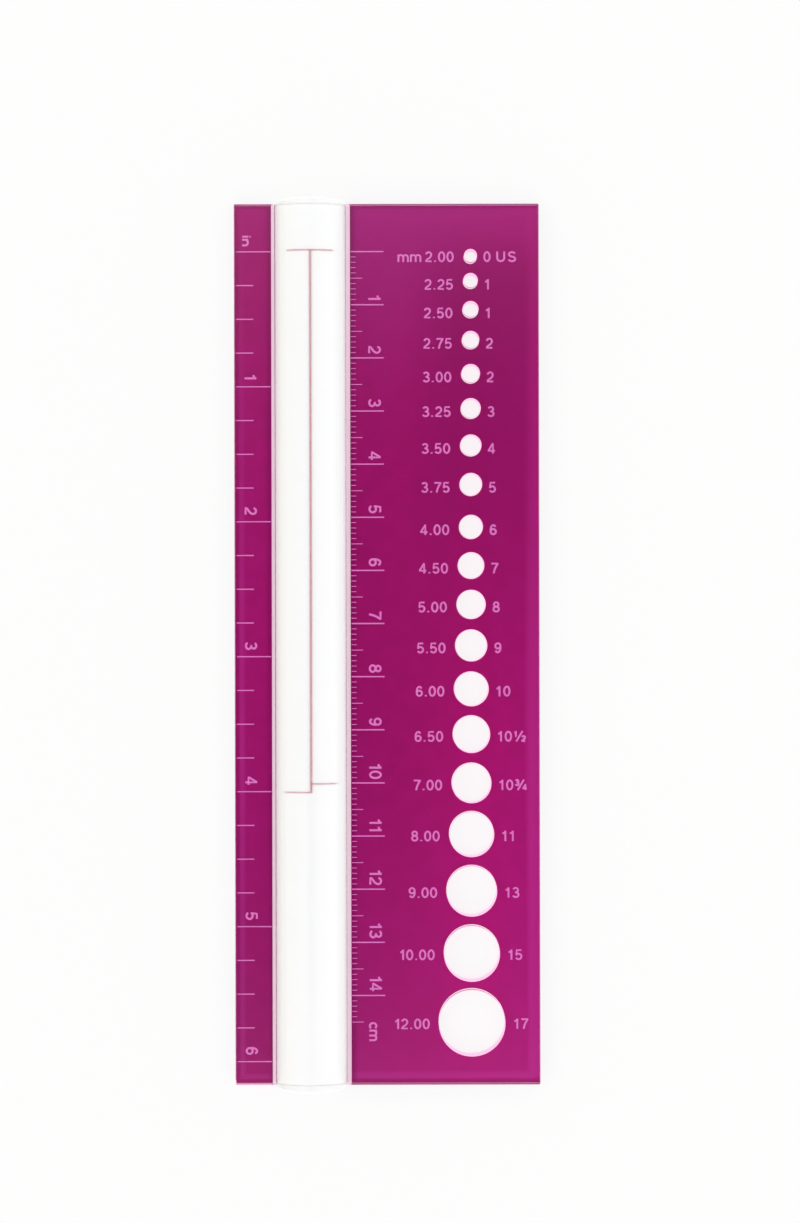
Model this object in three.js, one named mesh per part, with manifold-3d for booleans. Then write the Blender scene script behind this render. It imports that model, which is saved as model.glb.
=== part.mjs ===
import * as THREE from 'three';
import { mergeVertices } from 'three/addons/utils/BufferGeometryUtils.js';
import Module from 'manifold-3d';

const wasm = await Module();
wasm.setup();

// A knitting needle gauge in millimetres, lying face up on a table at Z = 0.
// Its length runs along Y, and both scales read from the +Y end down towards the -Y end.

// Units that the scales are ruled in
const inch = 25.4;
const centimetre = 10;
const quartersPerInch = 4;
const millimetresPerCentimetre = 10;

// Overall size
const gaugeLength = 165.1;
const gaugeWidth = 57.15;

// Layers from the table up
const backingThickness = 0.15;
const colourThickness = 0.15;
const plateThickness = 2.7;

// Magnifier bar: a square-sided base as thick as the wings, and a round top
const barWidth = 13.2;
const domeHeight = 6.6;
const domeFacets = 40;

// Wing on the left of the bar; the wing on the right takes the width that is left
const inchPlateWidth = 7.7;

// Strip beside the bar that the magenta layer leaves uncovered
const paleStrip = 0.8;

// Both scales start this far from the upper end
const scaleZeroInset = 8.65;

// Margins of magenta that the scale lines keep
const lineMarginOutside = 0.3;
const lineMarginAtBar = 0.15;

// Inch scale
const inchLineWidth = 0.22;
const quarterLineLength = 3.2;
const inchScaleEndInset = 4;

// Centimetre scale
const centimetreLineLength = 6.2;
const centimetreLineWidth = 0.25;
const halfLineLength = 2.15;
const halfLineWidth = 0.16;
const millimetreLineLength = 0.95;
const millimetreLineWidth = 0.14;
const centimetreScaleEndInset = 11;

// Line under the bar that counts stitches and rows over four inches or ten centimetres.
// It is printed a little to the left of the bar's middle.
const gaugeLineWidth = 0.18;
const gaugeLineShift = 0.12;
const gaugeZeroMarkReach = 2.2;
const gaugeMarkReach = 2.5;
const gaugeSpanInches = 4;
const gaugeSpanCentimetres = 10;

// Needle holes: the nominal needle size, and the land of plate to the next hole
const needleSizes = [
  { size: 2.0, land: 2.2 },
  { size: 2.25, land: 2.7 },
  { size: 2.5, land: 2.8 },
  { size: 2.75, land: 3.15 },
  { size: 3.0, land: 3.1 },
  { size: 3.25, land: 3.25 },
  { size: 3.5, land: 3.4 },
  { size: 3.75, land: 3.8 },
  { size: 4.0, land: 2.7 },
  { size: 4.5, land: 2.25 },
  { size: 5.0, land: 2.15 },
  { size: 5.5, land: 2.1 },
  { size: 6.0, land: 1.95 },
  { size: 6.5, land: 2.1 },
  { size: 7.0, land: 1.8 },
  { size: 8.0, land: 1.85 },
  { size: 9.0, land: 1.9 },
  { size: 10.0, land: 1.7 },
  { size: 12.0, land: 0 },
];
const needleClearance = 0.3;
const holeColumnInset = 12.8;
const firstHoleInset = 8.6;
const lastHoleInset = 3;

// Facets round a needle hole: a few on the smallest, more as the hole grows
const fewestHoleFacets = 16;
const holeFacetsPerMillimetre = 2.5;

// How far a cutting shape runs past the faces that it cuts
const cutOverrun = 1;

// Places that follow from the sizes
const leftEdge = -gaugeWidth / 2;
const rightEdge = gaugeWidth / 2;
const topEnd = gaugeLength / 2;
const bottomEnd = -gaugeLength / 2;
const barLeft = leftEdge + inchPlateWidth;
const barRight = barLeft + barWidth;
const barCentre = (barLeft + barRight) / 2;
const colourBottom = backingThickness;
const plateBottom = colourBottom + colourThickness;
const scaleZero = topEnd - scaleZeroInset;
const holeColumn = rightEdge - holeColumnInset;

const clearAcrylic = { color: 0xf4f6f7, roughness: 0.04, metalness: 0, transparent: true, opacity: 0.35 };
const magentaInk = { color: 0xa01c6e, roughness: 0.4, metalness: 0 };
const paleInk = { color: 0xf0cde0, roughness: 0.5, metalness: 0 };
const redInk = { color: 0xc4304c, roughness: 0.5, metalness: 0 };

function named(name, geometry, finish) {
  const mesh = new THREE.Mesh(geometry, new THREE.MeshStandardMaterial(finish));
  mesh.name = name;
  return mesh;
}

function toSolid(geometry) {
  const bare = geometry.clone();
  bare.deleteAttribute('normal');
  bare.deleteAttribute('uv');
  const merged = mergeVertices(bare);
  return new wasm.Manifold(new wasm.Mesh({
    numProp: 3,
    vertProperties: new Float32Array(merged.attributes.position.array),
    triVerts: new Uint32Array(merged.index.array),
  }));
}

function toGeometry(solid) {
  const { vertProperties, triVerts } = solid.getMesh();
  const geometry = new THREE.BufferGeometry();
  geometry.setAttribute('position', new THREE.BufferAttribute(vertProperties, 3));
  geometry.setIndex(new THREE.BufferAttribute(triVerts, 1));
  geometry.computeVertexNormals();
  return geometry;
}

// A flat block between two X, two Y and two Z faces
function block(left, right, lower, upper, bottom, top) {
  const geometry = new THREE.BoxGeometry(right - left, upper - lower, top - bottom);
  geometry.translate((left + right) / 2, (lower + upper) / 2, (bottom + top) / 2);
  return geometry;
}

// A full-length layer between two X faces
function layer(left, right, bottom, thickness) {
  return block(left, right, bottomEnd, topEnd, bottom, bottom + thickness);
}

function cutFrom(geometry, cutters) {
  let solid = toSolid(geometry);
  for (const cutter of cutters) {
    solid = solid.subtract(toSolid(cutter));
  }
  return toGeometry(solid);
}

// The holes that fit between the two ends, from the smallest down
function needleHoles() {
  const holes = [];
  let rim = topEnd - firstHoleInset;
  for (const { size, land } of needleSizes) {
    const diameter = size + needleClearance;
    const lowerRim = rim - diameter;
    if (lowerRim < bottomEnd + lastHoleInset) break;
    holes.push({ y: (rim + lowerRim) / 2, radius: diameter / 2 });
    rim = lowerRim - land;
  }
  return holes;
}

// One upright cutter for each hole, with its flats on the true circle so that the needle passes
function holeCutters() {
  const reach = plateBottom + plateThickness + cutOverrun;
  return needleHoles().map(({ y, radius }) => {
    const facets = fewestHoleFacets + 2 * Math.round(radius * holeFacetsPerMillimetre / 2);
    const cornerRadius = radius / Math.cos(Math.PI / facets);
    const cutter = new THREE.CylinderGeometry(cornerRadius, cornerRadius, 2 * reach, facets);
    cutter.rotateX(Math.PI / 2);
    cutter.translate(holeColumn, y, 0);
    return cutter;
  });
}

// The window in the magenta layer where one line of a scale is left open
function lineWindow(left, right, y, width) {
  const bottom = colourBottom - cutOverrun;
  const top = plateBottom + cutOverrun;
  return block(left, right, y - width / 2, y + width / 2, bottom, top);
}

function inchWindows() {
  const step = inch / quartersPerInch;
  const count = Math.floor((gaugeLength - scaleZeroInset - inchScaleEndInset) / step);
  const left = leftEdge + lineMarginOutside;
  const wholeRight = barLeft - paleStrip - lineMarginAtBar;
  const windows = [];
  for (let i = 0; i <= count; i += 1) {
    const right = i % quartersPerInch === 0 ? wholeRight : left + quarterLineLength;
    windows.push(lineWindow(left, right, scaleZero - i * step, inchLineWidth));
  }
  return windows;
}

function centimetreWindows() {
  const step = centimetre / millimetresPerCentimetre;
  const count = Math.floor((gaugeLength - scaleZeroInset - centimetreScaleEndInset) / step);
  const left = barRight + paleStrip + lineMarginAtBar;
  const windows = [];
  for (let i = 0; i <= count; i += 1) {
    let length = millimetreLineLength;
    let width = millimetreLineWidth;
    if (i % (millimetresPerCentimetre / 2) === 0) {
      length = halfLineLength;
      width = halfLineWidth;
    }
    if (i % millimetresPerCentimetre === 0) {
      length = centimetreLineLength;
      width = centimetreLineWidth;
    }
    windows.push(lineWindow(left, left + length, scaleZero - i * step, width));
  }
  return windows;
}

function lensBar() {
  const outline = new THREE.Shape();
  outline.moveTo(-barWidth / 2, 0);
  outline.lineTo(barWidth / 2, 0);
  outline.lineTo(barWidth / 2, plateThickness);
  outline.absellipse(0, plateThickness, barWidth / 2, domeHeight, 0, Math.PI, false);
  const geometry = new THREE.ExtrudeGeometry(outline, {
    depth: gaugeLength,
    curveSegments: domeFacets,
    bevelEnabled: false,
  });
  geometry.rotateX(Math.PI / 2);
  geometry.translate(barCentre, topEnd, plateBottom);
  return named('lens_bar', geometry, clearAcrylic);
}

function inchPlate() {
  return named('inch_plate', layer(leftEdge, barLeft, plateBottom, plateThickness), clearAcrylic);
}

function needlePlate() {
  const slab = layer(barRight, rightEdge, plateBottom, plateThickness);
  return named('needle_plate', cutFrom(slab, holeCutters()), clearAcrylic);
}

function inchColourFilm() {
  const sheet = layer(leftEdge, barLeft - paleStrip, colourBottom, colourThickness);
  return named('inch_colour_film', cutFrom(sheet, inchWindows()), magentaInk);
}

function needleColourFilm() {
  const sheet = layer(barRight + paleStrip, rightEdge, colourBottom, colourThickness);
  const cutters = [...centimetreWindows(), ...holeCutters()];
  return named('needle_colour_film', cutFrom(sheet, cutters), magentaInk);
}

function inchBackingFilm() {
  return named('inch_backing_film', layer(leftEdge, barLeft, 0, backingThickness), paleInk);
}

function needleBackingFilm() {
  const sheet = layer(barRight, rightEdge, 0, backingThickness);
  return named('needle_backing_film', cutFrom(sheet, holeCutters()), paleInk);
}

// The stem under the middle of the bar, its cross mark at zero and one side mark at each span
function gaugeLine() {
  const half = gaugeLineWidth / 2;
  const stem = barCentre - gaugeLineShift;
  const inchEnd = scaleZero - gaugeSpanInches * inch;
  const centimetreEnd = scaleZero - gaugeSpanCentimetres * centimetre;
  const mark = (left, right, y) => (
    block(left, right, y - half, y + half, colourBottom, plateBottom)
  );
  const pieces = [
    block(stem - half, stem + half, inchEnd, scaleZero, colourBottom, plateBottom),
    mark(stem - gaugeZeroMarkReach, stem + gaugeZeroMarkReach, scaleZero),
    mark(stem - gaugeMarkReach, stem + half, inchEnd),
    mark(stem - half, stem + gaugeMarkReach, centimetreEnd),
  ];
  const solid = pieces.map(toSolid).reduce((joined, piece) => joined.add(piece));
  return named('gauge_line', toGeometry(solid), redInk);
}

const group = new THREE.Group();
group.add(
  lensBar(),
  inchPlate(),
  needlePlate(),
  inchColourFilm(),
  needleColourFilm(),
  inchBackingFilm(),
  needleBackingFilm(),
  gaugeLine(),
);

export default group;
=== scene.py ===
import math

import bmesh
import bpy
from mathutils import Matrix, Vector


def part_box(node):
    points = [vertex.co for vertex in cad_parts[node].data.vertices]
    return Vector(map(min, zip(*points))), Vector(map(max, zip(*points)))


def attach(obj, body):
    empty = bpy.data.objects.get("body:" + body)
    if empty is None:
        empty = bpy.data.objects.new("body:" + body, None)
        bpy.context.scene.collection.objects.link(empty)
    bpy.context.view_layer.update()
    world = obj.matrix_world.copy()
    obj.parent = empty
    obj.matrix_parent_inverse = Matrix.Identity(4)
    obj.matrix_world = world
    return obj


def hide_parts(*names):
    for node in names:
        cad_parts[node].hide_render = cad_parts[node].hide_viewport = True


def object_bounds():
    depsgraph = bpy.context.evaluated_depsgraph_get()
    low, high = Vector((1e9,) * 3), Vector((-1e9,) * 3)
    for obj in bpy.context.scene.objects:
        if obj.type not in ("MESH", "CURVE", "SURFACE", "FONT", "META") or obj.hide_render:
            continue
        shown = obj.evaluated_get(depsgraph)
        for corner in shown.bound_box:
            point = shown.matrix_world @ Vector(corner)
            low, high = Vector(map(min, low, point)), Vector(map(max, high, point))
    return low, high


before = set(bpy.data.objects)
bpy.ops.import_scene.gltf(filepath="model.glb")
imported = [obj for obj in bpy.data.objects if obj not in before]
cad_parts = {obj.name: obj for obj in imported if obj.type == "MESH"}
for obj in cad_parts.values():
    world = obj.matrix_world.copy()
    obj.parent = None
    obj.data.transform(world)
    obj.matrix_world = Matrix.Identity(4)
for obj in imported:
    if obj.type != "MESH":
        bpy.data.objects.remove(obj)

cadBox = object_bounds()
mm = 0.001

# Edges of the magenta on the left and on the right of the bar
besideBar = [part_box("inch_colour_film")[1].x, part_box("needle_colour_film")[0].x]


# Shader maths: a wrapped socket, so that an expression adds its Math nodes
class Wire:
    def __init__(self, tree, socket):
        self.tree = tree
        self.socket = socket

    def math(self, operation, *others):
        return self.tree.add("ShaderNodeMath", {"operation": operation}, [self, *others])

    def __add__(self, other):
        return self.math("ADD", other)

    def __sub__(self, other):
        return self.math("SUBTRACT", other)

    def __rsub__(self, other):
        return self.tree.add("ShaderNodeMath", {"operation": "SUBTRACT"}, [other, self])

    def __mul__(self, other):
        return self.math("MULTIPLY", other)

    def __gt__(self, other):
        return self.math("GREATER_THAN", other)

    def __lt__(self, other):
        return self.math("LESS_THAN", other)

    __radd__ = __add__
    __rmul__ = __mul__

    def other(self, name):
        return Wire(self.tree, self.socket.node.outputs[name])

    def smooth(self, low, high):
        settings = {"interpolation_type": "SMOOTHSTEP"}
        inputs = {"Value": self, "From Min": low, "From Max": high}
        return self.tree.add("ShaderNodeMapRange", settings, inputs)


class Tree:
    def __init__(self, owner):
        owner.use_nodes = True
        self.nodes = owner.node_tree.nodes
        self.links = owner.node_tree.links
        self.nodes.clear()

    def add(self, kind, settings=None, inputs=None, output=0):
        node = self.nodes.new(kind)
        for name, value in (settings or {}).items():
            setattr(node, name, value)
        pairs = inputs.items() if isinstance(inputs, dict) else enumerate(inputs or [])
        for key, value in pairs:
            if isinstance(value, Wire):
                self.links.new(value.socket, node.inputs[key])
            else:
                node.inputs[key].default_value = value
        return Wire(self, node.outputs[output]) if node.outputs else None

    def mixColours(self, factor, first, second):
        return self.add("ShaderNodeMix", {"data_type": "RGBA"}, {0: factor, 6: first, 7: second}, 2)

    def objectPlace(self):
        return self.add("ShaderNodeTexCoord", output="Object")

    def axes(self, vector):
        x = self.add("ShaderNodeSeparateXYZ", {}, [vector])
        return x, x.other("Y"), x.other("Z")

    def noise(self, place, perMetre, detail=2):
        return self.add("ShaderNodeTexNoise", {}, {"Vector": place, "Scale": perMetre, "Detail": detail})

    def bump(self, height, strength, distance=0.01 * mm):
        inputs = {"Height": height, "Strength": strength, "Distance": distance}
        return self.add("ShaderNodeBump", {}, inputs)

    def finish(self, shader, kind="ShaderNodeOutputMaterial"):
        self.add(kind, {}, {"Surface": shader})


def newMaterial(name):
    material = bpy.data.materials.new(name)
    return material, Tree(material)


def stretched(tree, place, scale):
    return tree.add("ShaderNodeMapping", {}, {"Vector": place, "Scale": scale})


# Marks on the acrylic: noise scales are per metre
acrylicMarks = {
    "index": 1.49,                  # of refraction
    "smudgeScale": 45,
    "smudgeDetail": 3,
    "smudgeFrom": (0.5, 0.75),      # noise at which a smudge starts, and is full
    "smudgeRoughness": 0.012,
    "hairlineStretch": (900, 60, 900),   # fine across, long along Y
    "hairlineFrom": (0.62, 0.8),
    "hairlineRoughness": 0.01,
    "sawStretch": (5200, 5200, 500),
    "sawBump": 0.25,
}


# Clear acrylic with faint handling marks, and saw marks where it was cut
def acrylic(tree, place, colour, cut, polish, cutRoughness):
    marks = acrylicMarks
    smudge = tree.noise(place, marks["smudgeScale"], marks["smudgeDetail"]).smooth(*marks["smudgeFrom"])
    hairline = tree.noise(stretched(tree, place, marks["hairlineStretch"]), 1).smooth(*marks["hairlineFrom"])
    sawMarks = tree.noise(stretched(tree, place, marks["sawStretch"]), 1)
    rough = polish + smudge * marks["smudgeRoughness"] + hairline * marks["hairlineRoughness"]
    return tree.add("ShaderNodeBsdfPrincipled", {}, {
        "Base Color": colour,
        "Roughness": rough + cut * cutRoughness,
        "IOR": marks["index"],
        "Transmission Weight": 1.0,
        "Normal": tree.bump(sawMarks * cut, marks["sawBump"]),
    })


# Sawn and drilled faces of the acrylic are satin; a share of each is painted sheen and glow, a metallic
# colour and an emission that stand in for the light that the plate gathers
satinAndPaintedGlow = {
    "wingPolish": 0.004,            # roughness of the uncut faces
    "barPolish": 0.18,
    "wingEdge": 0.22,               # roughness that a cut face adds
    "barEnd": 0.04,
    "tilt": 0.02,                   # how far off level a wing's face is when it counts as cut
    "endTilt": 0.1,                 # how much a bar's face points along the bar when it does
    # painted sheen colours, painted glow colours, and the painted glow's strength
    "wingPaintedSheen": (0.85, 0.36, 0.64, 1),
    "wingPaintedGlow": (1.0, 0.84, 0.95, 1),
    "barPaintedSheen": (0.8, 0.8, 0.8, 1),
    "barPaintedGlow": (1.0, 1.0, 1.0, 1),
    "paintedGlowStrength": 0.36,
    "paintedSheenRoughness": 0.45,
    # shares of each cut face that are painted sheen and glow
    "paintedGlowShare": 0.9,             # of the drilled walls, and of the inch wing's lower end
    "sawnShare": 0.2,               # of the wings' sawn outline
    "barShare": 0.7,                # of the bar's ends
    "sawnReach": 1.0 * mm,          # faces this close to the gauge's outline are sawn
}


# Painted sheen and glow for a share of a cut face: a metallic colour and an emission, though no lamp is
# there
def shine(tree, colour, glow):
    return tree.add("ShaderNodeBsdfPrincipled", {}, {
        "Base Color": colour,
        "Roughness": satinAndPaintedGlow["paintedSheenRoughness"],
        "Metallic": 1.0,
        "Emission Color": glow,
        "Emission Strength": satinAndPaintedGlow["paintedGlowStrength"],
    })


# Painted shade: the bar's colour turns faintly cream along its left side
clearTones = {
    "clear": (0.985, 0.99, 0.99, 1),
    "paintedShadeCream": (0.915, 0.885, 0.855, 1),
    "barPaintedShade": (0.5 * mm, 6.0 * mm),
}


# The bar is sawn at its two ends only
def barAcrylic():
    material, tree = newMaterial("acrylic_bar")
    _, along, _ = tree.axes(tree.add("ShaderNodeNewGeometry", output="True Normal"))
    cut = along.math("ABSOLUTE") > satinAndPaintedGlow["endTilt"]
    place = tree.objectPlace()
    x, _, _ = tree.axes(place)
    # painted shade: cream near the bar's left side, clear further right
    clearer = (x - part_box("lens_bar")[0].x).smooth(*clearTones["barPaintedShade"])
    colour = tree.mixColours(clearer, clearTones["paintedShadeCream"], clearTones["clear"])
    clear = acrylic(tree, place, colour, cut, satinAndPaintedGlow["barPolish"], satinAndPaintedGlow["barEnd"])
    # painted sheen and glow on a share of the bar's sawn ends
    cutFace = shine(tree, satinAndPaintedGlow["barPaintedSheen"], satinAndPaintedGlow["barPaintedGlow"])
    tree.finish(tree.add("ShaderNodeMixShader", {}, [cut * satinAndPaintedGlow["barShare"], clear, cutFace]))
    return material


# The wings are cut on every upright face: sawn round the outline and beside the bar, and drilled
def wingAcrylic():
    material, tree = newMaterial("acrylic_wing")
    place = tree.objectPlace()
    _, _, upright = tree.axes(tree.add("ShaderNodeNewGeometry", output="True Normal"))
    cut = upright.math("ABSOLUTE") < 1 - satinAndPaintedGlow["tilt"]
    clear = acrylic(tree, place, clearTones["clear"], cut, satinAndPaintedGlow["wingPolish"], satinAndPaintedGlow["wingEdge"])
    # painted sheen and glow on a share of every cut face, the most on the drilled walls
    cutFace = shine(tree, satinAndPaintedGlow["wingPaintedSheen"], satinAndPaintedGlow["wingPaintedGlow"])
    x, y, _ = tree.axes(place)
    sides = x.math("ABSOLUTE") > cadBox[1].x - satinAndPaintedGlow["sawnReach"]
    ends = y.math("ABSOLUTE") > cadBox[1].y - satinAndPaintedGlow["sawnReach"]
    outline = sides.math("MAXIMUM", ends)
    drilled = (x > besideBar[1]) * (1 - outline)
    # painted glint along the inch wing's lower end, which takes the bright share of painted glow
    paintedGlint = (x < besideBar[0]) * (y < satinAndPaintedGlow["sawnReach"] - cadBox[1].y)
    bright = drilled.math("MAXIMUM", paintedGlint)
    share = bright * satinAndPaintedGlow["paintedGlowShare"] + outline * (1 - paintedGlint) * satinAndPaintedGlow["sawnShare"]
    tree.finish(tree.add("ShaderNodeMixShader", {}, [cut * share, clear, cutFace]))
    return material


# Painted light and shade on the magenta. A pair says how far from an edge or an end a painted tone starts to
# change, and stops.
magentaPaintedLight = {
    # painted shade: the thin dark line
    "line": (0.2 * mm, 0.8 * mm),   # thin dark line at the ends and the left edge
    "lineShare": 0.4,
    # painted light: the lighter band near the outer edges
    "bandIn": (0.5 * mm, 1.1 * mm),  # lighter band inside it, up to the right edge
    "bandOut": (1.4 * mm, 3.2 * mm),
    "inchBandOut": (1.2 * mm, 2.2 * mm),
    "bandFade": (20 * mm, 210 * mm),  # from the lower end up
    "bandShare": 1.0,
    # painted light: paler lower end and bluer upper end
    "lowerEnd": (5 * mm, 75 * mm),  # a little paler towards the lower end, and bluer towards the upper
    "lowerShare": 0.35,
    "upperEnd": (10 * mm, 48 * mm),
    "upperLean": 1.0,               # the bluer part narrows towards the long edges
    "upperShare": 0.8,
    "inchShare": 0.15,              # how much of these two the inch wing takes
    # painted shade
    "inchDark": (20 * mm, 80 * mm),  # darker towards the inch wing's lower end
    "inchDarkShare": 0.3,
    # painted shade
    "right": (2 * mm, 14 * mm),     # darker to the right of the middle, but not at the edge or the ends
    "rightEdge": (0, 3 * mm),
    "rightStart": (0, 16 * mm),
    "rightFade": (30 * mm, 110 * mm),
    "rightShare": 0.6,
    # painted shadow of the bar
    "bar": (0, 1.5 * mm),           # darker beside the bar
    "barShare": 0.75,
    # painted light, painted blue light and painted shade that the magenta is mixed towards
    "paler": (0.72, 0.034, 0.39, 1),
    "bluer": (0.63, 0.022, 0.34, 1),
    "darker": (0.4, 0.008, 0.19, 1),
}


# Painted light and shade on the magenta behind the plate: lighter near the outer edges, darker beside the
# bar
def shadeMagenta(tree, place, colour):
    x, y, _ = tree.axes(place)
    low, high = cadBox
    barLeft, barRight = besideBar
    tones = magentaPaintedLight

    def beyond(distance, reach):
        return distance.smooth(*tones[reach])

    def near(distance, reach):
        return 1 - beyond(distance, reach)

    aside = x.math("ABSOLUTE")
    fromUpperEnd = high.y - y
    fromLowerEnd = y - low.y
    fromEnds = fromUpperEnd.math("MINIMUM", fromLowerEnd)
    fromEdge = fromEnds.math("MINIMUM", high.x - aside)
    fromBar = (x - (barLeft + barRight) / 2).math("ABSOLUTE") - (barRight - barLeft) / 2
    fromLine = fromEnds.math("MINIMUM", x - low.x)
    right = x > barRight
    left = 1 - right
    wing = right * (1 - tones["inchShare"]) + tones["inchShare"]

    # painted light: lighter band near the edges, paler towards the lower end
    bandOut = near(fromEdge, "bandOut") * right + near(fromEdge, "inchBandOut") * left
    band = beyond(fromLine, "bandIn") * bandOut * near(fromLowerEnd, "bandFade")
    lower = near(fromLowerEnd, "lowerEnd") * tones["lowerShare"] * wing
    pale = (band * tones["bandShare"]).math("MAXIMUM", lower)

    # painted shade: dark edge line, the bar's shadow, and broad darker areas
    line = near(fromLine, "line") * tones["lineShare"]
    beside = near(fromBar, "bar") * tones["barShare"]
    across = beyond(x, "right") * beyond(high.x - x, "rightEdge")
    along = beyond(fromUpperEnd, "rightStart") * near(fromUpperEnd, "rightFade")
    inchDark = near(fromLowerEnd, "inchDark") * left * tones["inchDarkShare"]
    broad = across * along * tones["rightShare"] + inchDark
    dark = beside.math("MAXIMUM", line).math("MAXIMUM", broad)

    # painted light: bluer towards the upper end
    upper = near(fromUpperEnd + aside * tones["upperLean"], "upperEnd") * tones["upperShare"] * wing
    bluer = tree.mixColours(upper, colour, tones["bluer"])
    return tree.mixColours(dark, tree.mixColours(pale, bluer, tones["paler"]), tones["darker"])


# Each ink's colour and the one that it mottles to, its roughness, and what is the same all over it
inks = {
    "magenta_ink": {
        "colour": (0.61, 0.0105, 0.265, 1),
        "mottled": (0.57, 0.0095, 0.24, 1),
        "roughness": 0.4,
        "fixed": {"Specular IOR Level": 0.01},
    },
    "pale_ink": {
        "colour": (0.99, 0.74, 0.87, 1),
        "mottled": (0.98, 0.7, 0.85, 1),
        "roughness": 0.35,
        "fixed": {"Transmission Weight": 0.92, "IOR": 1.12},
    },
    "mark_ink": {
        "colour": (1.0, 0.38, 0.9, 1),
        "mottled": (1.0, 0.35, 0.88, 1),
        "roughness": 0.05,
        "fixed": {"Transmission Weight": 0.92, "IOR": 1.12},
    },
    "red_ink": {
        "colour": (0.76, 0.04, 0.16, 1),
        "mottled": (0.7, 0.03, 0.14, 1),
        "roughness": 0.5,
        "fixed": {"Transmission Weight": 0.5, "IOR": 1.12},
    },
}

# Mottle and grain of the print: noise scales are per metre
screenPrint = {
    "mottleScale": 260,
    "mottleDetail": 4,
    "mottleFrom": (0.3, 0.7),
    "grainScale": 9000,
    "grainRoughness": 0.08,
    "grainBump": 0.15,
}


# Print on the back of the clear plate: even, with the slight mottle of a screened ink; a shade, where given,
# paints light and shade over its colour
def ink(name, shade=None):
    recipe = inks[name]
    material, tree = newMaterial(name)
    place = tree.objectPlace()
    texture = screenPrint
    mottle = tree.noise(place, texture["mottleScale"], texture["mottleDetail"])
    mottle = mottle.smooth(*texture["mottleFrom"])
    grain = tree.noise(place, texture["grainScale"])
    mixed = tree.mixColours(mottle, recipe["mottled"], recipe["colour"])
    inputs = {
        "Base Color": shade(tree, place, mixed) if shade else mixed,
        "Roughness": recipe["roughness"] + grain * texture["grainRoughness"],
        "Normal": tree.bump(grain, texture["grainBump"]),
    }
    tree.finish(tree.add("ShaderNodeBsdfPrincipled", {}, inputs | recipe["fixed"]))
    return material


# How a mesh is finished, and how openings are read from CAD's inner walls
meshing = {
    "mergeDistance": 0.0005 * mm,
    "level": 0.9999,                # share of a normal that makes a face level or square
    "flatArea": 4e-6,               # square metres, from which a square face counts as large
    "sharpAngle": 40,
    "wallTilt": 0.5,                # share of a wall's normal that may point up
    "wallInset": 0.05 * mm,         # an inner wall lies further in than this
    "digits": 7,                    # corners that agree to so many decimals are one
    "windowCorners": 4,             # an opening with more is a round hole
}


# Large flat faces stay flat, rounded ones are smooth, and a corner without a round-over is sharp
def finishMesh(name, bm, material, replaced=(), roundTop=False):
    bmesh.ops.remove_doubles(bm, verts=bm.verts[:], dist=meshing["mergeDistance"])
    bmesh.ops.recalc_face_normals(bm, faces=bm.faces[:])
    limit = meshing["level"]
    for face in bm.faces:
        level = face.normal.z < -limit or (face.normal.z > limit and not roundTop)
        square = max(abs(face.normal.x), abs(face.normal.y)) > limit
        face.smooth = not (level or (square and face.calc_area() > meshing["flatArea"]))
    for edge in bm.edges:
        edge.smooth = edge.calc_face_angle(0.0) < math.radians(meshing["sharpAngle"])
    mesh = bpy.data.meshes.new(name)
    bm.to_mesh(mesh)
    bm.free()
    return placePiece(name, mesh, material, replaced)


def placePiece(name, mesh, material, replaced=()):
    mesh.materials.clear()
    mesh.materials.append(material)
    piece = bpy.data.objects.new(name, mesh)
    bpy.context.scene.collection.objects.link(piece)
    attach(piece, "root")
    if replaced:
        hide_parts(*replaced)
    return piece


# The openings of a flat CAD node, read from its upright inner walls
def openingsOf(node):
    low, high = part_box(node)
    bm = bmesh.new()
    bm.from_mesh(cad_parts[node].data)
    bmesh.ops.remove_doubles(bm, verts=bm.verts[:], dist=meshing["mergeDistance"])
    bm.normal_update()

    def isInnerWall(face):
        middle = face.calc_center_median()
        outside = min(middle.x - low.x, high.x - middle.x, middle.y - low.y, high.y - middle.y)
        return abs(face.normal.z) < meshing["wallTilt"] and outside > meshing["wallInset"]

    waiting = {face for face in bm.faces if isInnerWall(face)}
    found = []
    while waiting:
        group = [waiting.pop()]
        for face in group:
            near = {other for edge in face.edges for other in edge.link_faces} & waiting
            waiting -= near
            group.extend(near)
        digits = meshing["digits"]
        corners = {(round(v.co.x, digits), round(v.co.y, digits)) for face in group for v in face.verts}
        xs = [corner[0] for corner in corners]
        ys = [corner[1] for corner in corners]
        sides = len(corners)
        isRound = sides > meshing["windowCorners"]
        shrink = math.cos(math.pi / sides) if isRound else 1.0   # a facetted hole's flats are on its circle
        found.append({
            "centre": Vector(((min(xs) + max(xs)) / 2, (min(ys) + max(ys)) / 2, 0)),
            "half": ((max(xs) - min(xs)) / 2 * shrink, (max(ys) - min(ys)) / 2 * shrink),
            "round": isRound,
        })
    bm.free()
    return sorted(found, key=lambda opening: -opening["centre"].y)


# Steps and reaches of the closed shapes that pieces are made and cut with
cutting = {
    "holeSegments": 96,
    "cornerSteps": 4,               # round an upright corner
    "roundSteps": 3,                # round an edge or a rim
    "guard": 0.02 * mm,             # short straight before a round-over, so that long faces shade straight
    "reach": 0.5 * mm,              # a cutting shape runs this far past the faces that it cuts
    "strips": 23,                   # that a sheet with openings is sliced into
    "sliceTolerance": 0.0001 * mm,
}


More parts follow.
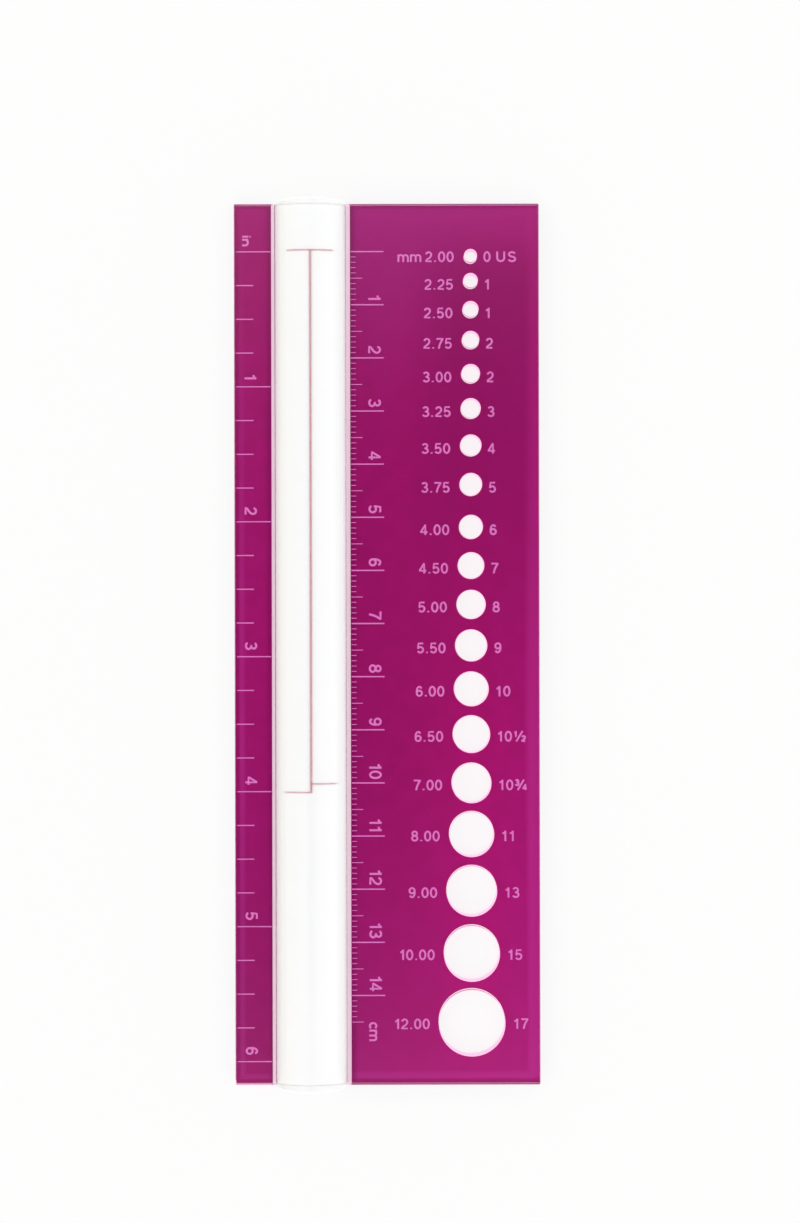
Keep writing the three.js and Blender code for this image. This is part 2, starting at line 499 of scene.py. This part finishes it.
# A closed shape round one outline, through a list of (height, inset)
def closedShape(bm, shape, levels, cornerRound=0.0):
    z, inset = levels[0]
    halfX, halfY = (half - inset for half in shape["half"])
    place = Matrix.Translation((shape["centre"].x, shape["centre"].y, z))
    place @= Matrix.Diagonal((halfX, halfY, 1, 1))
    if shape["round"]:
        made = bmesh.ops.create_circle(bm, segments=cutting["holeSegments"], radius=1.0, matrix=place)
        rim = list({edge for vert in made["verts"] for edge in vert.link_edges})
    else:
        made = bmesh.ops.create_grid(bm, x_segments=1, y_segments=1, size=1.0, matrix=place)
        if cornerRound:
            made = bmesh.ops.bevel(bm, geom=made["verts"], offset=cornerRound, profile=0.5,
                                   segments=cutting["cornerSteps"], affect="VERTICES", material=-1)
        faces = list({face for vert in made["verts"] for face in vert.link_faces})
        rim = list({edge for face in faces for edge in face.edges})
        bmesh.ops.delete(bm, geom=faces, context="FACES_ONLY")
    bmesh.ops.contextual_create(bm, geom=rim)
    centre = Matrix.Translation((-shape["centre"].x, -shape["centre"].y, 0))
    for nextZ, nextInset in levels[1:]:
        made = bmesh.ops.extrude_edge_only(bm, edges=rim)
        verts = {item for item in made["geom"] if isinstance(item, bmesh.types.BMVert)}
        drawn = [item for item in made["geom"] if isinstance(item, bmesh.types.BMEdge)]
        rim = [edge for edge in drawn if verts >= set(edge.verts)]
        across = [(half - nextInset) / (half - inset) for half in shape["half"]]
        bmesh.ops.scale(bm, verts=list(verts), vec=(*across, 1), space=centre)
        bmesh.ops.translate(bm, verts=list(verts), vec=(0, 0, nextZ - z))
        z, inset = nextZ, nextInset
    bmesh.ops.contextual_create(bm, geom=rim)


# The last levels below a rim: inwards for an outer rim, outwards for an opening
def roundOver(top, rounding, sign):
    if not rounding:
        return [(top, 0.0)]
    steps = cutting["roundSteps"]
    turns = [math.radians(90) * i / steps for i in range(steps + 1)]
    return [(top - rounding - cutting["guard"], 0.0)] + [
        (top - rounding * (1 - math.sin(turn)), sign * rounding * (1 - math.cos(turn))) for turn in turns
    ]


# One closed shape cut by another, or kept only where both are; exact where the tool crosses itself
def combine(shape, tool, operation, crossing=False):
    holders = []
    for name, bm in (("shape", shape), ("tool", tool)):
        bmesh.ops.recalc_face_normals(bm, faces=bm.faces[:])
        mesh = bpy.data.meshes.new(name)
        bm.to_mesh(mesh)
        bm.free()
        holders.append(bpy.data.objects.new(name, mesh))
        bpy.context.scene.collection.objects.link(holders[-1])
    boolean = holders[0].modifiers.new("combine", "BOOLEAN")
    boolean.operation = operation
    boolean.solver = "EXACT" if crossing else "MANIFOLD"
    boolean.use_self = crossing
    boolean.object = holders[1]
    bpy.context.view_layer.update()
    made = bpy.data.meshes.new_from_object(holders[0].evaluated_get(bpy.context.evaluated_depsgraph_get()))
    for holder in holders:
        bpy.data.meshes.remove(holder.data)   # its object goes with it
    result = bmesh.new()
    result.from_mesh(made)
    bpy.data.meshes.remove(made)
    bmesh.ops.holes_fill(result, edges=[edge for edge in result.edges if edge.is_boundary])
    return result


# A sheet with its openings, and windows for its numerals; strips keep each face to a few openings
def sheetWithOpenings(outline, openings, bottom, top, rounds=(0.0, 0.0, 0.0), numerals=()):
    rimRound, cornerRound, openingRound = rounds
    sheet = bmesh.new()
    closedShape(sheet, outline, [(bottom, 0.0)] + roundOver(top, rimRound, 1), cornerRound)
    if not openings and not numerals:
        return sheet
    strip = 2 * outline["half"][1] / cutting["strips"]
    for i in range(1, cutting["strips"]):
        y = outline["centre"].y - outline["half"][1] + i * strip
        geometry = sheet.verts[:] + sheet.edges[:] + sheet.faces[:]
        bmesh.ops.bisect_plane(sheet, geom=geometry, dist=cutting["sliceTolerance"],
                               plane_co=(0, y, 0), plane_no=(0, 1, 0))
    reach = cutting["reach"]
    cutters = bmesh.new()
    for group in numerals:
        standStrokes(cutters, group["shape"], bottom - reach, top + reach)
    flare = roundOver(top, openingRound, -1) if openingRound else []
    for opening in openings:
        closedShape(cutters, opening, [(bottom - reach, 0.0)] + flare + [(top + reach, -openingRound)])
    return combine(sheet, cutters, "DIFFERENCE")


def outlineBetween(left, right, lower, upper):
    return {
        "centre": Vector(((left + right) / 2, (lower + upper) / 2, 0)),
        "half": ((right - left) / 2, (upper - lower) / 2),
        "round": False,
    }


def insetFrom(low, high, left=0.0, right=0.0, ends=0.0):
    return outlineBetween(low.x + left, high.x - right, low.y + ends, high.y - ends)


# The magnifier bar and the two wings
clearParts = {
    "jointGap": 0.02 * mm,          # air on each side of a joint with the bar
    "edgeRound": 0.16 * mm,
    "cornerRound": 0.3 * mm,
    "rimRound": 0.1 * mm,
    "domeSteps": 120,
}


# The magnifier bar: an arc spun over the top, a square base, and the profile drawn along Y
def lensBar(material):
    low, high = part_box("lens_bar")
    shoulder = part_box("inch_plate")[1].z
    gap = clearParts["jointGap"]
    radius = (high.x - low.x) / 2 - gap
    domeHeight = high.z - shoulder
    middle = (low.x + high.x) / 2
    rounding = clearParts["edgeRound"]
    steps = cutting["roundSteps"]
    bm = bmesh.new()
    start = bmesh.ops.create_vert(bm, co=(middle + radius, low.y + rounding, shoulder))["vert"][0]
    bmesh.ops.spin(bm, geom=[start], cent=(middle, low.y + rounding, shoulder), axis=(0, -1, 0),
                   angle=math.pi, steps=clearParts["domeSteps"])
    bmesh.ops.scale(bm, verts=bm.verts[:], vec=(1, 1, domeHeight / radius),
                    space=Matrix.Translation((0, 0, -shoulder)))
    ends = [vert for vert in bm.verts if len(vert.link_edges) == 1]
    feet = bmesh.ops.extrude_vert_indiv(bm, verts=ends)["verts"]
    bmesh.ops.translate(bm, verts=feet, vec=(0, 0, low.z - shoulder))
    bmesh.ops.contextual_create(bm, geom=feet)
    profile = bm.edges[:]
    middleZ = (low.z + high.z) / 2
    centre = Matrix.Translation((-middle, 0, -middleZ))

    def shrinkTo(verts, before, after):
        across = (radius - after) / (radius - before)
        halfHeight = (high.z - low.z) / 2
        upright = (halfHeight - after) / (halfHeight - before)
        bmesh.ops.scale(bm, verts=verts, vec=(across, 1, upright), space=centre)

    def carry(edges, moves):
        inset = 0.0
        for distance, nextInset in moves:
            made = bmesh.ops.extrude_edge_only(bm, edges=edges)
            verts = [item for item in made["geom"] if isinstance(item, bmesh.types.BMVert)]
            fresh = set(verts)
            edges = [item for item in made["geom"] if isinstance(item, bmesh.types.BMEdge)
                     and all(vert in fresh for vert in item.verts)]
            bmesh.ops.translate(bm, verts=verts, vec=(0, distance, 0))
            shrinkTo(verts, inset, nextInset)
            inset = nextInset
        return edges

    turns = [math.radians(90) * (i + 1) / steps for i in range(steps)]
    along = [rounding * math.sin(turn) for turn in turns]
    insets = [rounding * (1 - math.cos(turn)) for turn in turns]
    hops = [after - before for before, after in zip([0.0] + along[:-1], along)]
    guard = cutting["guard"]
    span = high.y - low.y - 2 * rounding
    lowerEnd = carry(profile, [(-hop, inset) for hop, inset in zip(hops, insets)])
    straight = [(guard, 0.0), (span - 2 * guard, 0.0), (guard, 0.0)]
    upperEnd = carry(profile, straight + list(zip(hops, insets)))
    for rim in (lowerEnd, upperEnd):
        bmesh.ops.contextual_create(bm, geom=rim)
    return finishMesh("lens_bar_clear", bm, material, ["lens_bar"], roundTop=True)


def widened(openings, margin):
    return [dict(item, half=tuple(half + margin for half in item["half"])) for item in openings]


def clearWings(material, holes):
    gap = clearParts["jointGap"]
    for node, left, right, openings in (
        ("inch_plate", 0.0, gap, []),
        ("needle_plate", gap, 0.0, holes),
    ):
        low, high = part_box(node)
        rounds = (clearParts["edgeRound"], clearParts["cornerRound"], clearParts["rimRound"])
        bm = sheetWithOpenings(insetFrom(low, high, left, right), openings, low.z, high.z, rounds)
        finishMesh(node + "_clear", bm, material, [node])


# Layers behind the wings, and the marks in them
printLayers = {
    "sink": 0.02 * mm,              # print reaches this far into the clear plate
    "edgeInset": 0.02 * mm,
    "lineInset": 0.004 * mm,
    "markGap": 0.005 * mm,          # air over the pale marks and the gauge line
    "colourHoleMargin": 0.12 * mm,  # magenta stops this short of a needle hole
    "backingHoleMargin": 0.06 * mm,
    "layerGap": 0.01 * mm,
}


def printedFilms(magenta, pale, holes, lines, groups):
    inset = printLayers["edgeInset"]
    for wing, openings in (("inch", []), ("needle", holes)):
        colour = wing + "_colour_film"
        low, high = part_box(colour)
        numerals = [group for group in groups if group["wing"] == wing]
        cuts = widened(openings, printLayers["colourHoleMargin"]) + lines[wing]
        bm = sheetWithOpenings(insetFrom(low, high, inset, inset, inset), cuts,
                               low.z, high.z + printLayers["sink"], numerals=numerals)
        finishMesh(colour + "_print", bm, magenta, [colour])
        backing = wing + "_backing_film"
        low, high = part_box(backing)
        cuts = widened(openings, printLayers["backingHoleMargin"])
        bm = sheetWithOpenings(insetFrom(low, high, inset, inset, inset), cuts,
                               low.z, high.z - printLayers["layerGap"])
        finishMesh(backing + "_print", bm, pale, [backing])


# Pale print that fills the lines left open in the magenta
def scaleLines(marks, lines):
    for wing in ("inch", "needle"):
        low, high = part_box(wing + "_colour_film")
        bm = bmesh.new()
        for line in lines[wing]:
            inset = printLayers["lineInset"]
            closedShape(bm, line, [(low.z, inset), (high.z - printLayers["markGap"], inset)])
        finishMesh(wing + "_scale_lines", bm, marks)


def gaugeLine(red):
    low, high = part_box("gauge_line")
    bm = bmesh.new()
    bm.from_mesh(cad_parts["gauge_line"].data)
    bmesh.ops.remove_doubles(bm, verts=bm.verts[:], dist=meshing["mergeDistance"])
    upper = [vert for vert in bm.verts if vert.co.z > (low.z + high.z) / 2]
    bmesh.ops.translate(bm, verts=upper, vec=(0, 0, -printLayers["markGap"]))
    finishMesh("gauge_line_print", bm, red, ["gauge_line"])


# Numerals are drawn as pen strokes, in units of their cap height
pen = {
    "fewestSteps": 4,
    "degreesPerStep": 18,
    "height": mm,                   # of the strokes as they are made, before they stand in a layer
    "closed": 0.001 * mm,           # ends this close make a stroke one loop
}

# A small upper numeral, a slash and a small lower numeral
fraction = {
    "size": 0.56,
    "rise": 0.44,                   # of the upper numeral
    "shift": 0.74,                  # of the lower numeral to the right
    "slash": [(0.26, 0), (0.86, 1)],
    "width": 1.2,
}


# Points of an arc from one angle to another, in degrees
def arc(x, y, radiusX, radiusY, start, end):
    count = max(pen["fewestSteps"], round(abs(end - start) / pen["degreesPerStep"]))
    turns = [math.radians(start + (end - start) * i / count) for i in range(count + 1)]
    return [(x + radiusX * math.cos(turn), y + radiusY * math.sin(turn)) for turn in turns]


# Each glyph's width and strokes. A sharp corner has two points, because a stroke thins at its corners.
def glyphStrokes():
    digit = 0.774
    six = [arc(0.39, 0.31, 0.25, 0.25, 0, 360), arc(0.40, 0.50, 0.26, 0.44, 38, 195)]
    nine = [[(digit - x, 1 - y) for x, y in stroke] for stroke in six]
    one = [[(0.40, 0), (0.40, 1)], [(0.40, 0.94), (0.32, 0.81), (0.22, 0.76), (0.12, 0.75)]]
    foot = [(0.50, 0.42), (0.20, 0.20), (0.14, 0.10), (0.14, 0.06), (0.67, 0.06)]
    two = [arc(0.385, 0.69, 0.25, 0.25, 170, -25) + foot]
    three = [arc(0.37, 0.73, 0.23, 0.21, 160, -90) + arc(0.375, 0.285, 0.27, 0.225, 90, -160)]
    four = [[(0.50, 0), (0.50, 0.93), (0.465, 0.93), (0.09, 0.31), (0.09, 0.26), (0.70, 0.26)]]
    flag = [(0.64, 0.94), (0.20, 0.94), (0.155, 0.52)]
    return {
        "0": (digit, [arc(0.387, 0.5, 0.265, 0.44, 0, 360)]),
        "1": (0.6, one),
        "2": (digit, two),
        "3": (digit, three),
        "4": (digit, four),
        "5": (digit, [flag + arc(0.375, 0.325, 0.265, 0.265, 148, -155)]),
        "6": (digit, six),
        "7": (digit, [[(0.07, 0.94), (0.66, 0.94), (0.67, 0.90), (0.52, 0.68), (0.38, 0.38), (0.29, 0)]]),
        "8": (digit, [arc(0.387, 0.74, 0.225, 0.20, 0, 360), arc(0.387, 0.29, 0.265, 0.23, 0, 360)]),
        "9": (digit, nine),
        ".": (0.387, [[(0.193, 0), (0.193, 0.14)]]),
        " ": (0.2, []),
        "m": (1.16, [[(0.12, 0), (0.12, 0.73)], arc(0.355, 0.45, 0.235, 0.22, 180, 0) + [(0.59, 0)],
                     arc(0.815, 0.45, 0.225, 0.22, 180, 0) + [(1.04, 0)]]),
        "n": (0.774, [[(0.13, 0), (0.13, 0.73)], arc(0.385, 0.43, 0.255, 0.24, 180, 0) + [(0.64, 0)]]),
        "i": (0.31, [[(0.155, 0), (0.155, 0.73)], [(0.155, 0.87), (0.155, 1.0)]]),
        "c": (0.696, [arc(0.37, 0.365, 0.27, 0.31, 38, 322)]),
        "U": (1.0, [[(0.16, 1)] + arc(0.5, 0.38, 0.34, 0.32, 180, 360) + [(0.84, 1)]]),
        "S": (0.93, [arc(0.465, 0.725, 0.29, 0.215, 15, 245) + arc(0.465, 0.275, 0.32, 0.215, 68, -165)]),
    }


def fractionStrokes(glyphs, upper, lower):
    size = fraction["size"]
    strokes = placed(glyphs[upper][1], (0, fraction["rise"]), size)
    strokes += placed(glyphs[lower][1], (fraction["shift"], 0), size)
    return fraction["width"], strokes + [fraction["slash"]]


# A word's strokes from its left end, and its width
def wordStrokes(glyphs, word, tracking=0.0):
    start = 0.0
    strokes = []
    for letter in word:
        advance, lines = glyphs[letter]
        strokes += [[(start + x, y) for x, y in line] for line in lines]
        start += advance + tracking
    return strokes, start - tracking


# Pen strokes joined into one closed shape with upright sides
def joinedStrokes(strokes, width):
    curve = bpy.data.curves.new("strokes", "CURVE")
    curve.dimensions = "3D"
    curve.twist_mode = "Z_UP"
    curve.bevel_depth = width / 2
    curve.bevel_resolution = 0
    curve.extrude = pen["height"]
    curve.use_fill_caps = True
    for stroke in strokes:
        spline = curve.splines.new("POLY")
        closed = (Vector(stroke[0]) - Vector(stroke[-1])).length < pen["closed"]
        points = stroke[:-1] if closed else stroke
        spline.points.add(len(points) - 1)
        for point, (x, y) in zip(spline.points, points):
            point.co = (x, y, pen["height"] / 2, 1)
        spline.use_cyclic_u = closed
    holder = bpy.data.objects.new("strokes", curve)
    bpy.context.scene.collection.objects.link(holder)
    bpy.context.view_layer.update()
    mesh = bpy.data.meshes.new_from_object(holder.evaluated_get(bpy.context.evaluated_depsgraph_get()))
    bpy.data.objects.remove(holder)
    pens = bmesh.new()
    pens.from_mesh(mesh)
    bmesh.ops.remove_doubles(pens, verts=pens.verts[:], dist=meshing["mergeDistance"])
    slab = bmesh.new()
    closedShape(slab, insetFrom(*cadBox), [(0.0, 0.0), (pen["height"], 0.0)])
    joined = combine(slab, pens, "INTERSECT", crossing=True)
    joined.to_mesh(mesh)
    joined.free()
    return mesh


# Adds joined strokes that stand between two heights
def standStrokes(bm, shape, low, high):
    before = set(bm.verts)
    bm.from_mesh(shape)
    added = [vert for vert in bm.verts if vert not in before]
    bmesh.ops.scale(bm, verts=added, vec=(1, 1, (high - low) / pen["height"]))
    bmesh.ops.translate(bm, verts=added, vec=(0, 0, low))


def placed(strokes, origin, size, turned=False):
    x0, y0 = origin
    if turned:
        return [[(x0 + y * size, y0 - x * size) for x, y in stroke] for stroke in strokes]
    return [[(x0 + x * size, y0 + y * size) for x, y in stroke] for stroke in strokes]


# Labels beside the needle holes
lettering = {
    "capHeight": 1.95 * mm,
    "stroke": 0.355 * mm,
    "leftTracking": 0.045,          # extra space after each letter, in cap heights
    "rightTracking": 0.12,
    "leftGap": 1.93 * mm,           # hole rim to the end of the metric size, less with the hole's size
    "leftShare": 0.02,
    "rightGap": 1.2 * mm,           # hole rim to the start of the US size, more with the hole's size
    "rightShare": 0.035,
    "drop": 0.48 * mm,              # middle of the label below the hole's centre
    "firstDrop": -0.1 * mm,         # the first label sits a little above it
}

needleLabels = [
    ("mm 2.00", "0 US"), ("2.25", "1"), ("2.50", "1"), ("2.75", "2"), ("3.00", "2"),
    ("3.25", "3"), ("3.50", "4"), ("3.75", "5"), ("4.00", "6"), ("4.50", "7"),
    ("5.00", "8"), ("5.50", "9"), ("6.00", "10"), ("6.50", "10½"), ("7.00", "10¾"),
    ("8.00", "11"), ("9.00", "13"), ("10.00", "15"), ("12.00", "17"),
]


def needleNumerals(glyphs, holes):
    size = lettering["capHeight"]
    strokes = []
    drop = lettering["firstDrop"]
    for hole, (metric, american) in zip(holes, needleLabels):
        radius = hole["half"][0]
        baseline = hole["centre"].y - drop - size / 2
        left, width = wordStrokes(glyphs, metric, lettering["leftTracking"])
        end = hole["centre"].x - radius - lettering["leftGap"] + lettering["leftShare"] * radius * 2
        strokes += placed(left, (end - width * size, baseline), size)
        right, width = wordStrokes(glyphs, american, lettering["rightTracking"])
        start = hole["centre"].x + radius + lettering["rightGap"] + lettering["rightShare"] * radius * 2
        strokes += placed(right, (start, baseline), size)
        drop = lettering["drop"]
    shape = joinedStrokes(strokes, lettering["stroke"])
    return {"name": "needle_numerals", "wing": "needle", "shape": shape}


# Numerals and units of the two scales
scaleLettering = {
    "stroke": 0.4 * mm,
    "sameLength": 0.01 * mm,        # lines this close to the longest mark a whole unit
    "inch": {
        "capHeight": 2.22 * mm,
        "baseline": 1.85 * mm,      # in from the outer edge
        "beforeLine": 1.15 * mm,
        "unit": "in",
        "unitSize": 1.58 * mm,
        "unitStretch": 1.3,
        "unitBaseline": 1.45 * mm,
        "unitBeforeLine": 0.95 * mm,
    },
    "needle": {
        "capHeight": 2.3 * mm,
        "baseline": 3.47 * mm,      # in from the magenta's edge beside the bar
        "beforeLine": 0.63 * mm,
        "unit": "cm",
        "unitSize": 1.98 * mm,
        "unitStretch": 1.0,
        "unitBaseline": 3.35 * mm,
    },
}


# Numerals along a scale, turned to read from the side.
# The unit stands before the first line or after the last.
def scaleNumerals(glyphs, lines, name, wing):
    style = scaleLettering[wing]
    size = style["capHeight"]
    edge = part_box(wing + "_colour_film")[0].x
    longest = max(line["half"][0] for line in lines)
    tolerance = scaleLettering["sameLength"]
    whole = [line["centre"].y for line in lines if line["half"][0] > longest - tolerance]
    strokes = []
    for i, y in enumerate(whole[1:], start=1):
        number, width = wordStrokes(glyphs, str(i))
        origin = (edge + style["baseline"], y + style["beforeLine"] + width * size)
        strokes += placed(number, origin, size, True)
    unit, width = wordStrokes(glyphs, style["unit"])
    unit = [[(x * style["unitStretch"], y) for x, y in stroke] for stroke in unit]
    start = min(line["centre"].y for line in lines)
    if "unitBeforeLine" in style:
        start = whole[0] + style["unitBeforeLine"] + width * style["unitStretch"] * style["unitSize"]
    strokes += placed(unit, (edge + style["unitBaseline"], start), style["unitSize"], True)
    return {"name": name, "wing": wing, "shape": joinedStrokes(strokes, scaleLettering["stroke"])}


# The three groups of numerals, each with its wing and its joined strokes
def layOutNumerals(glyphs, holes, lines):
    return [
        needleNumerals(glyphs, holes),
        scaleNumerals(glyphs, lines["inch"], "inch_numerals", "inch"),
        scaleNumerals(glyphs, lines["needle"], "centimetre_numerals", "needle"),
    ]


def printNumerals(groups, marks):
    for group in groups:
        low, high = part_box(group["wing"] + "_colour_film")
        bm = bmesh.new()
        standStrokes(bm, group["shape"], low.z, high.z - printLayers["markGap"])
        finishMesh(group["name"], bm, marks)


# Soft white room with a dim patch overhead, brighter on the left and low down
room = {
    "level": 1.0,
    "leftGain": 0.2,
    "frontGain": 0.08,
    "lowGain": 0.6,
    "dimLevel": 0.06,
    "dimCentre": (0.045, -0.035, 0.998),
    "dimInner": 5,                  # degrees from the patch's centre
    "dimOuter": 19,
    "floorSize": 3.0,
    "floorDrop": 0.01 * mm,
    "floorColour": (0.2, 0.2, 0.197, 1),
    "floorLift": 0.78,
    "floorLiftThroughGlass": 0.9,
}


def floorMaterial():
    material, tree = newMaterial("floor_white")
    camera = tree.add("ShaderNodeLightPath", output="Is Camera Ray")
    seen = camera.math("MAXIMUM", camera.other("Is Glossy Ray")) * room["floorLift"]
    seen = seen.math("MAXIMUM", camera.other("Is Transmission Ray") * room["floorLiftThroughGlass"])
    lit = tree.add("ShaderNodeBsdfDiffuse", {}, {"Color": room["floorColour"]})
    lift = tree.add("ShaderNodeEmission", {}, {"Color": (1, 1, 1, 1), "Strength": seen})
    tree.finish(tree.add("ShaderNodeAddShader", {}, [lit, lift]))
    return material


def makeRoom():
    size = room["floorSize"]
    mesh = bpy.data.meshes.new("floor")
    bm = bmesh.new()
    bmesh.ops.create_grid(bm, x_segments=1, y_segments=1, size=size / 2)
    bmesh.ops.translate(bm, verts=bm.verts[:], vec=(0, 0, -room["floorDrop"]))
    bm.to_mesh(mesh)
    bm.free()
    mesh.materials.append(floorMaterial())
    floor = bpy.data.objects.new("floor", mesh)
    bpy.context.scene.collection.objects.link(floor)

    world = bpy.data.worlds.new("soft_room")
    bpy.context.scene.world = world
    tree = Tree(world)
    direction = tree.add("ShaderNodeTexCoord", output="Generated")
    x, y, z = tree.axes(direction)
    inner = math.cos(math.radians(room["dimInner"]))
    outer = math.cos(math.radians(room["dimOuter"]))
    centre = Vector(room["dimCentre"]).normalized()
    toPatch = tree.add("ShaderNodeVectorMath", {"operation": "DOT_PRODUCT"}, [direction, centre], "Value")
    overhead = toPatch.smooth(outer, inner)
    low = (1 - z) * (1 - z)
    sides = 1 - x * room["leftGain"] - y * room["frontGain"] + low * room["lowGain"]
    lit = room["level"] * sides * (1 - overhead) + overhead * room["dimLevel"]
    seen = tree.add("ShaderNodeLightPath", output="Is Camera Ray")
    strength = lit * (1 - seen) + seen
    background = tree.add("ShaderNodeBackground", {}, {"Color": (1, 1, 1, 1), "Strength": strength})
    tree.finish(background, "ShaderNodeOutputWorld")


# Photograph's frame, and the camera straight above the gauge
view = {
    "imageHeight": 1223,            # pixels
    "sensorLong": 36.0,
    "pixelsPerRadian": 2066.0,      # focal length in pixels
    "place": (2.43 * mm, 6.15 * mm, 390 * mm),
    "roll": -0.126,                 # degrees
    "nearest": 0.01,                # metres
    "furthest": 10,
}


def makeCamera():
    data = bpy.data.cameras.new("camera")
    data.sensor_fit = "AUTO"
    data.sensor_width = view["sensorLong"]
    data.lens = view["pixelsPerRadian"] * view["sensorLong"] / view["imageHeight"]
    data.clip_start = view["nearest"]
    data.clip_end = view["furthest"]
    camera = bpy.data.objects.new("camera", data)
    bpy.context.scene.collection.objects.link(camera)
    camera.location = view["place"]
    camera.rotation_euler = (0, 0, math.radians(view["roll"]))
    bpy.context.scene.camera = camera


bpy.context.scene.view_settings.view_transform = "Standard"
makeCamera()
makeRoom()
print("room and camera ready")

magentaInk = ink("magenta_ink", shadeMagenta)
paleInk = ink("pale_ink")
markInk = ink("mark_ink")
redInk = ink("red_ink")
print("inks mixed")

filmOpenings = {wing: openingsOf(wing + "_colour_film") for wing in ("inch", "needle")}
needleHoles = [opening for opening in filmOpenings["needle"] if opening["round"]]
scaleWindows = {wing: [item for item in items if not item["round"]] for wing, items in filmOpenings.items()}
lineCounts = {wing: len(items) for wing, items in scaleWindows.items()}
print("read", len(needleHoles), "holes and", lineCounts, "lines")

lensBar(barAcrylic())
clearWings(wingAcrylic(), needleHoles)
print("clear parts made")
glyphs = glyphStrokes()
glyphs["½"] = fractionStrokes(glyphs, "1", "2")
glyphs["¾"] = fractionStrokes(glyphs, "3", "4")
numerals = layOutNumerals(glyphs, needleHoles, scaleWindows)
printedFilms(magentaInk, paleInk, needleHoles, scaleWindows, numerals)
scaleLines(markInk, scaleWindows)
gaugeLine(redInk)
print("printed layers made")

printNumerals(numerals, markInk)
print("numerals printed")
